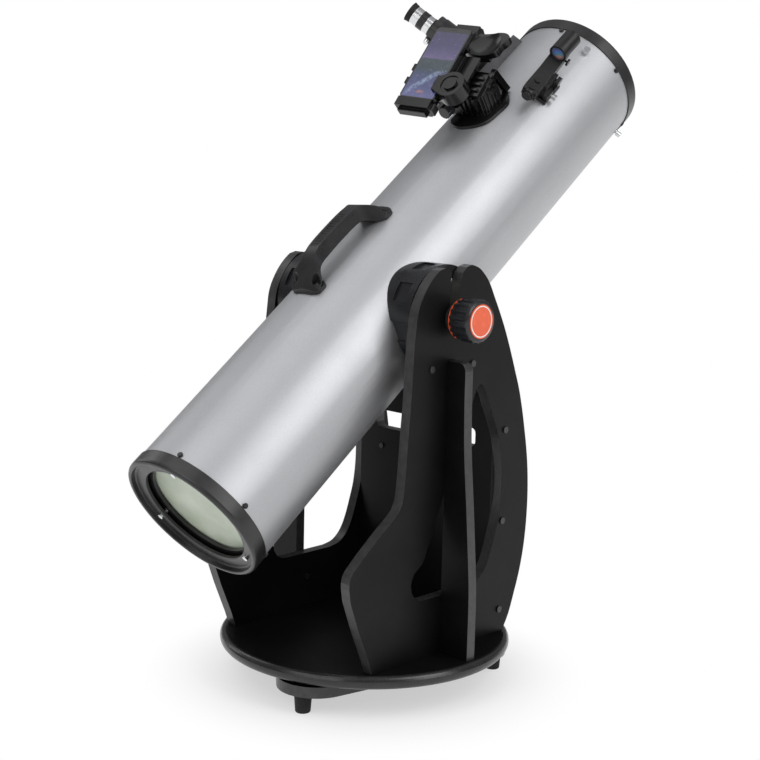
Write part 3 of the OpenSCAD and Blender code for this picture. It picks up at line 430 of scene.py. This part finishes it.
def phone_display():
    """Lit display: a night sky over hills, laid out in the dock's x and y."""
    graph = Graph("phone_display")
    x = graph.along(DOCK.col[0].xyz, DOCK.translation)
    y = graph.along(DOCK.col[1].xyz, DOCK.translation)
    point = graph.add("ShaderNodeCombineXYZ", X=x, Y=y).outputs[0]
    sky = graph.ramp(graph.span(y, -0.076, 0.076, smooth=False), [
        (0.0, (0.13, 0.14, 0.36)), (0.16, (0.06, 0.08, 0.25)), (0.38, (0.02, 0.05, 0.14)),
        (0.56, (0.13, 0.10, 0.26)), (0.74, (0.050, 0.044, 0.16)), (1.0, (0.022, 0.020, 0.09))])
    haze = graph.times(graph.span(graph.noise(55, detail=5, rough=0.6, point=point), 0.45, 0.72),
                       graph.span(y, 0.000, 0.045, at_start=1.0, at_end=0.25))
    sky = graph.overlay(sky, (0.24, 0.15, 0.40), haze, opacity=0.5)
    # hills below a wavy ridge
    only_x = graph.add("ShaderNodeCombineXYZ", X=x).outputs[0]
    waves = graph.times(graph.noise(46, rough=0.5, point=only_x), 0.011)
    above_ridge = graph.math("SUBTRACT", y, graph.math("ADD", 0.003, waves))
    hills = graph.times(graph.fall(above_ridge, -0.0006, 0.0006),
                        graph.span(y, -0.026, -0.010))
    hill_color = graph.mottle((0.006, 0.028, 0.040), (0.014, 0.055, 0.060),
                              scale=120, detail=4, point=point)
    sky = graph.overlay(sky, hill_color, hills, opacity=0.9)
    # pale slanted streak across the lower half
    slant = graph.math("ADD", graph.times(graph.math("ADD", x, 0.001), 0.72),
                       graph.times(graph.math("ADD", y, 0.036), -0.69))
    streak = graph.times(
        graph.fall(graph.math("ABSOLUTE", slant), 0.0006, 0.0085),
        graph.span(graph.noise(150, detail=5, rough=0.6, point=point), 0.28, 0.68))
    limits = graph.times(graph.span(y, -0.012, -0.022), graph.span(x, -0.033, -0.020))
    sky = graph.overlay(sky, (0.42, 0.54, 0.80), graph.times(streak, limits), opacity=0.8)
    # flat orange glow near the bottom
    from_glow = graph.vec("SUBTRACT", point, (0.000, -0.061, 0))
    distance = graph.vec("LENGTH", graph.vec("MULTIPLY", from_glow, (1.0, 2.6, 0)))
    glow = graph.times(graph.span(distance, 0.003, 0.011, at_start=0.8, at_end=0.0),
                       graph.span(graph.noise(260, point=point), 0.3, 0.6))
    sky = graph.mix(glow, sky, (0.70, 0.25, 0.10))
    small = star_layer(graph, point, 420.0, channel=0, size=(0.06, 0.22), share=(0.90, 0.95))
    large = star_layer(graph, point, 150.0, channel=1, size=(0.03, 0.12), share=(0.84, 0.90))
    sky = graph.mix(graph.math("MAXIMUM", small, large), sky, (0.95, 0.95, 1.0))
    sides = graph.span(graph.math("ABSOLUTE", x), 0.0327, 0.0331)
    ends = graph.math("MAXIMUM", graph.span(y, 0.0655, 0.0660),
                      graph.fall(y, -0.0727, -0.0722))
    sky = graph.mix(graph.math("MAXIMUM", sides, ends), sky, (0.003, 0.003, 0.004))
    graph.finish(graph.bsdf(
        Base_Color=(0.004, 0.004, 0.006), Roughness=graph.wear(0.09, spread=0.3, scale=50),
        Specular_IOR_Level=0.5, Emission_Color=sky, Emission_Strength=0.62,
        Coat_Weight=0.3, Coat_Roughness=0.03))


def eyepiece_bands():
    """Bands along the eyepiece: silver, black, silver, black, silver, black."""
    graph = Graph("eyepiece_bands")
    z = graph.along(FOCUSER_OUT, FOCUSER.translation)
    barrel = graph.fall(z, 0.2475, 0.2477, smooth=False)
    lower = graph.band(z, rise=(0.2529, 0.2531), fall=(0.2644, 0.2646), smooth=False)
    upper = graph.band(z, rise=(0.2774, 0.2776), fall=(0.2909, 0.2911), smooth=False)
    is_silver = graph.math("MAXIMUM", barrel, graph.math("MAXIMUM", lower, upper))
    grooves = graph.bump(graph.math("SINE", graph.times(z, 12000.0)), strength=0.10,
                         distance=0.0002, normal=graph.edge(0.0004))
    silver = graph.bsdf(
        Base_Color=graph.mottle((0.70, 0.71, 0.72), (0.82, 0.82, 0.83), scale=400),
        Metallic=1.0, Roughness=graph.wear(0.20, spread=0.3, scale=90), Normal=grooves)
    grain = graph.bump(graph.noise(1800, detail=2), strength=0.3,
                       distance=0.0003, normal=graph.edge(0.0004))
    black = graph.bsdf(
        Base_Color=graph.mottle((0.008, 0.008, 0.009), (0.014, 0.014, 0.015), scale=300),
        Roughness=graph.wear(0.36, spread=0.2, scale=70), Normal=grain)
    graph.finish(graph.mix_shaders(is_silver, black, silver))


# name, colour, roughness, grain scale, grain depth, edge radius, specular, tone variation
PLASTICS = (
    ("edge_bumper", (0.014, 0.014, 0.0145), 0.27, 500, 0.05, 0.0008, 0.55, 0.25),
    ("moulded_black", (0.020, 0.020, 0.0215), 0.40, 1500, 0.30, 0.0006, 0.5, 0.25),
    ("moulded_fine", (0.015, 0.015, 0.016), 0.33, 2600, 0.15, 0.0004, 0.5, 0.25),
    ("moulded_handle", (0.014, 0.014, 0.015), 0.34, 1300, 0.30, 0.0014, 0.42, 0.25),
    ("moulded_hub", (0.0085, 0.009, 0.0105), 0.30, 1800, 0.08, 0.0008, 0.42, 0.25),
    ("moulded_knob", (0.015, 0.0155, 0.0180), 0.22, 1700, 0.12, 0.0007, 0.5, 0.25),
    ("dock_gloss", (0.0040, 0.0040, 0.0044), 0.17, 1500, 0.10, 0.0010, 0.45, 0.2),
    ("finder_plastic", (0.0045, 0.0045, 0.005), 0.36, 1700, 0.25, 0.0008, 0.45, 0.25),
    ("rubber_black", (0.013, 0.013, 0.013), 0.72, 1200, 0.5, 0.0008, 0.3, 0.25),
    ("nylon_white", (0.70, 0.70, 0.66), 0.45, 700, 0.1, 0.0006, 0.45, 0.06),
)
# name, colour, roughness, grain scale, grain depth, edge radius
BLACK_COATS = (
    ("focuser_plate", (0.050, 0.050, 0.054), 0.36, 1300, 0.14, 0.0012),
    ("ring_coat", (0.010, 0.010, 0.011), 0.36, 1100, 0.16, 0.0010),
    ("black_metal", (0.010, 0.010, 0.011), 0.28, 700, 0.06, 0.0004),
    ("focuser_black", (0.018, 0.018, 0.019), 0.30, 1500, 0.12, 0.0006),
    ("vane_black", (0.012, 0.012, 0.012), 0.5, 900, 0.1, 0.0002),
    ("phone_frame", (0.008, 0.008, 0.010), 0.14, 3000, 0.02, 0.0012),
)
for row in PLASTICS:
    plastic(*row)
for row in BLACK_COATS:
    black_coat(*row)
metal("zinc_steel", (0.60, 0.60, 0.59), rough=0.32, spread=0.3)
metal("chrome_plate", (0.80, 0.81, 0.82), rough=0.12, spread=0.4)
laminate("board_x", (1, 0, 0))
laminate("board_y", (0, 1, 0))
laminate("board_z", (0, 0, 1))
tube_paint()
COS_45 = 0.7071  # the flat faces halfway between the focuser and the primary mirror
mirror("mirror_primary", ALONG, spot=True)
mirror("mirror_secondary", FOCUSER_OUT * COS_45 - ALONG * COS_45, spot=False)
knob_disc()
finder_coating_painted_glint()
eye_coating()
phone_display()
eyepiece_bands()

# material: the CAD pieces that wear it
WEARERS = {
    "board_x": "side_board_right side_board_left",
    "board_y": "rib_right rib_left front_panel",
    "board_z": "ground_board base_disc",
    "edge_bumper": "base_bumper",
    "rubber_black": "feet mirror_clips eyecup",
    "zinc_steel": "foot_screws pivot_bolt collimation_springs altitude_shafts",
    "nylon_white": "glide_pads pivot_bush bearing_pads friction_washers",
    "black_metal": "board_screws ring_screws handle_screws focuser_drawtube",
    "chrome_plate": "collimation_screws spider_thumbscrews adapter_thumbscrew finder_thumbscrew",
    "tube_silver": "optical_tube",
    "ring_coat": "front_ring rear_ring mirror_carrier",
    "mirror_primary": "primary_mirror",
    "mirror_secondary": "secondary_mirror",
    "vane_black": "spider",
    "moulded_black": "shaft_collars focus_shaft",
    "moulded_fine": "secondary_holder finder_shoe",
    "moulded_handle": "carry_handle",
    "moulded_hub": "altitude_hubs",
    "moulded_knob": "altitude_knob_right altitude_knob_left dock_knob_tilt dock_knob_turn "
                    "finder_knob_side finder_knob_height",
    "knob_orange": "knob_disc_right knob_disc_left",
    "focuser_plate": "focuser_base",
    "focuser_black": "focuser_body eyepiece_adapter",
    "eyepiece_bands": "eyepiece",
    "dock_gloss": "dock_base dock_carrier dock_cradle dock_jaw dock_mirror_hood",
    "phone_frame": "phone",
    "finder_plastic": "finder_body",
    "finder_coating_painted_glint": "finder_lens",
}
LOOK = {piece: look for look, pieces in WEARERS.items() for piece in pieces.split()}


def dress(piece, material):
    piece.data.materials.clear()
    piece.data.materials.append(BLOCKS[material])


for name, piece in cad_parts.items():
    dress(piece, LOOK[name])


# ---------------------------------------------------------------- added pieces, in mm
def add_object(name, verts, faces, material, smooth=False):
    data = bpy.data.meshes.new(name)
    data.from_pydata([tuple(vert) for vert in verts], [], faces)
    data.validate()
    if smooth:
        data.polygons.foreach_set("use_smooth", [True] * len(data.polygons))
    data.update()
    piece = bpy.data.objects.new(name, data)
    bpy.context.scene.collection.objects.link(piece)
    dress(piece, material)
    return piece


def add_stack(name, rings, material, body, matrix, slot, smooth=False):
    """Closed skin over rings of equal point count, carried by a body."""
    count = len(rings[0])
    faces = [tuple(k * count + i for k, i in ((low, i), (low, j), (low + 1, j), (low + 1, i)))
             for low in range(len(rings) - 1)
             for i, j in ((i, (i + 1) % count) for i in range(count))]
    last = (len(rings) - 1) * count
    faces += [tuple(range(last, last + count)), tuple(range(count - 1, -1, -1))]
    verts = [matrix @ mm(*point) for ring in rings for point in ring]
    piece = add_object(name, verts, faces, material, smooth)
    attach(piece, body)


def rounded(width, height, radius, steps=10):
    """Rectangle outline with rounded corners."""
    points = []
    for side_x, side_y, start in ((1, 1, 0), (-1, 1, 90), (-1, -1, 180), (1, -1, 270)):
        for i in range(steps + 1):
            angle = math.radians(start + 90 * i / steps)
            points.append((side_x * (width / 2 - radius) + radius * math.cos(angle),
                           side_y * (height / 2 - radius) + radius * math.sin(angle)))
    return points


def slab(name, outline, bottom, top, *wearing, chamfer=0.0):
    """Flat plate, its top edge eased by chamfer."""
    centre_x = sum(x for x, y in outline) / len(outline)
    centre_y = sum(y for x, y in outline) / len(outline)
    eased = []
    for x, y in outline:
        outward = Vector((x - centre_x, y - centre_y)).normalized()
        eased.append((x - outward.x * chamfer, y - outward.y * chamfer, top))
    rings = [[(x, y, z) for x, y in outline] for z in (bottom, top - chamfer)]
    add_stack(name, rings + [eased], *wearing)


def lathe(name, profile, *wearing, segments, smooth=True):
    """Surface of revolution of (radius, z) points about z."""
    angles = [2 * math.pi * i / segments for i in range(segments)]
    rings = [[(radius * math.cos(angle), radius * math.sin(angle), z) for angle in angles]
             for radius, z in profile]
    add_stack(name, rings, *wearing, smooth=smooth)


GLASS_TOP = 4.42
slab("phone_display", rounded(68.2, 148.8, radius=7.2), 4.1, GLASS_TOP,
     "phone_display", "telephone", DOCK, "phone_glass", chamfer=0.15)
slab("phone_ear_slit", rounded(12, 1.3, radius=0.6, steps=5), GLASS_TOP, 4.5,
     "black_metal", "telephone", DOCK @ shift(0, 71, 0), "phone_glass")

# (radius, z): camera bump and its recessed window
CAMERA_PROFILE = [(8.6, -3.9), (8.6, -5.0), (8.0, -5.4), (6.9, -5.45), (6.5, -5.1), (0.01, -5.1)]
lathe("phone_rear_camera", CAMERA_PROFILE, "phone_frame", "telephone",
      DOCK @ shift(-20, 62, 0), "phone_glass", segments=48, smooth=False)

# (radius, z): short wall, then the dome
EYE_LENS_PROFILE = [(10.9, 287.1), (10.9, 288.4), (9.6, 289.5), (7.6, 290.3), (5.2, 290.9),
                    (2.6, 291.2), (0.01, 291.3)]
lathe("eye_lens", EYE_LENS_PROFILE, "eye_coating", "eyepiece_unit", FOCUSER, "lens_glass",
      segments=56)

# flat mirror in the hood, looking over the top of the telephone
slab("dock_mirror", rounded(24, 30, radius=1.5, steps=4), 0, 1.2, "mirror_secondary",
     "dock_tray", DOCK @ shift(14, 68, -24) @ turn(-38, "X"), "secondary_glass", chamfer=0.2)


# ---------------------------------------------------------------- studio
def studio_world():
    """White to the camera, a soft grey gradient to everything else."""
    graph = Graph("studio", "World")
    direction = graph.add("ShaderNodeTexCoord").outputs["Generated"]
    height = graph.add("ShaderNodeSeparateXYZ", Vector=direction).outputs[2]
    grey = graph.ramp(graph.span(height, -0.2, 1.0, smooth=False), [
        (0.10, (0.30, 0.30, 0.31)), (0.45, (0.42, 0.42, 0.43)), (1.0, (0.85, 0.86, 0.88))])
    surroundings = graph.add("ShaderNodeBackground", Color=grey, Strength=0.50)
    backdrop = graph.add("ShaderNodeBackground", Color=(1, 1, 1), Strength=1.0)
    seen = graph.add("ShaderNodeLightPath").outputs["Is Camera Ray"]
    graph.finish(graph.mix_shaders(seen, surroundings, backdrop))
    bpy.context.scene.world = BLOCKS["studio"]


def floor_pale():
    """Pale floor that fades into the white background."""
    graph = Graph("floor_pale")
    distance = graph.vec("LENGTH", graph.vec("SUBTRACT", graph.point, (0.0, -0.073, 0.0)))
    fade = graph.math("MAXIMUM", graph.span(distance, 0.18, 0.38, at_start=0.55), 0.55)
    matt = graph.bsdf(
        Base_Color=graph.mottle((0.90, 0.90, 0.90), (0.93, 0.93, 0.93), scale=3, detail=4),
        Roughness=graph.wear(0.6, spread=0.1, scale=5), Specular_IOR_Level=0.15,
        Normal=graph.bump(graph.noise(240, detail=2), strength=0.03, distance=0.0005))
    white = graph.add("ShaderNodeEmission", Color=(1, 1, 1), Strength=1.0)
    graph.finish(graph.mix_shaders(fade, matt, white))


def add_floor(radii=(1.5, 12.0), segments=96):
    """Disc of a triangle fan and one outer ring, just under the feet."""
    angles = [2 * math.pi * i / segments for i in range(segments)]
    verts = [(0, 0, 0)]
    verts += [(radius * math.cos(angle), radius * math.sin(angle), 0)
              for radius in radii for angle in angles]
    pairs = [(1 + i, 1 + (i + 1) % segments) for i in range(segments)]
    faces = [(0, i, j) for i, j in pairs]
    faces += [(i, i + segments, j + segments, j) for i, j in pairs]
    floor = add_object("floor", verts, faces, "floor_pale")
    floor.location = (0, 0, -0.0004)


def softbox(name, location, target, size, power):
    light = bpy.data.lights.new(name, "AREA")
    light.shape = "RECTANGLE"
    light.size, light.size_y = size
    light.energy = power
    lamp = bpy.data.objects.new(name, light)
    lamp.location = location
    lamp.rotation_mode = "QUATERNION"
    aim = Vector(target) - Vector(location)
    lamp.rotation_quaternion = aim.to_track_quat("-Z", "Y")
    bpy.context.scene.collection.objects.link(lamp)


def add_camera():
    data = bpy.data.cameras.new("camera")
    data.sensor_width = 36.0
    data.lens = 74.98
    data.clip_start = 0.05
    data.clip_end = 60
    camera = bpy.data.objects.new("camera", data)
    camera.matrix_world = from_columns(
        x_axis=(0.7212920, 0.6922390, 0.0233035),
        y_axis=(-0.1354616, 0.1079919, 0.9848796),
        z_axis=(0.6792555, -0.7135425, 0.1716655),
        origin=(1.7552115, -1.8939607, 0.9311042))
    bpy.context.scene.collection.objects.link(camera)
    bpy.context.scene.camera = camera


studio_world()
floor_pale()
add_floor()
MIDDLE = (0, 0.03, 0.6)
softbox("key", (2.56, 0.42, 2.2), (0.1, -0.03, 0.6), size=(1.9, 2.6), power=50)
softbox("front", (0.2, -3.0, 2.3), MIDDLE, size=(2.8, 2.0), power=34)
softbox("rim_left", (-2.9, -0.5, 1.9), MIDDLE, size=(1.0, 2.2), power=9)
softbox("top", (-0.3, -0.9, 3.5), MIDDLE, size=(2.6, 2.6), power=19)
add_camera()
view = bpy.context.scene.view_settings
view.view_transform = "Standard"
view.look = "None"
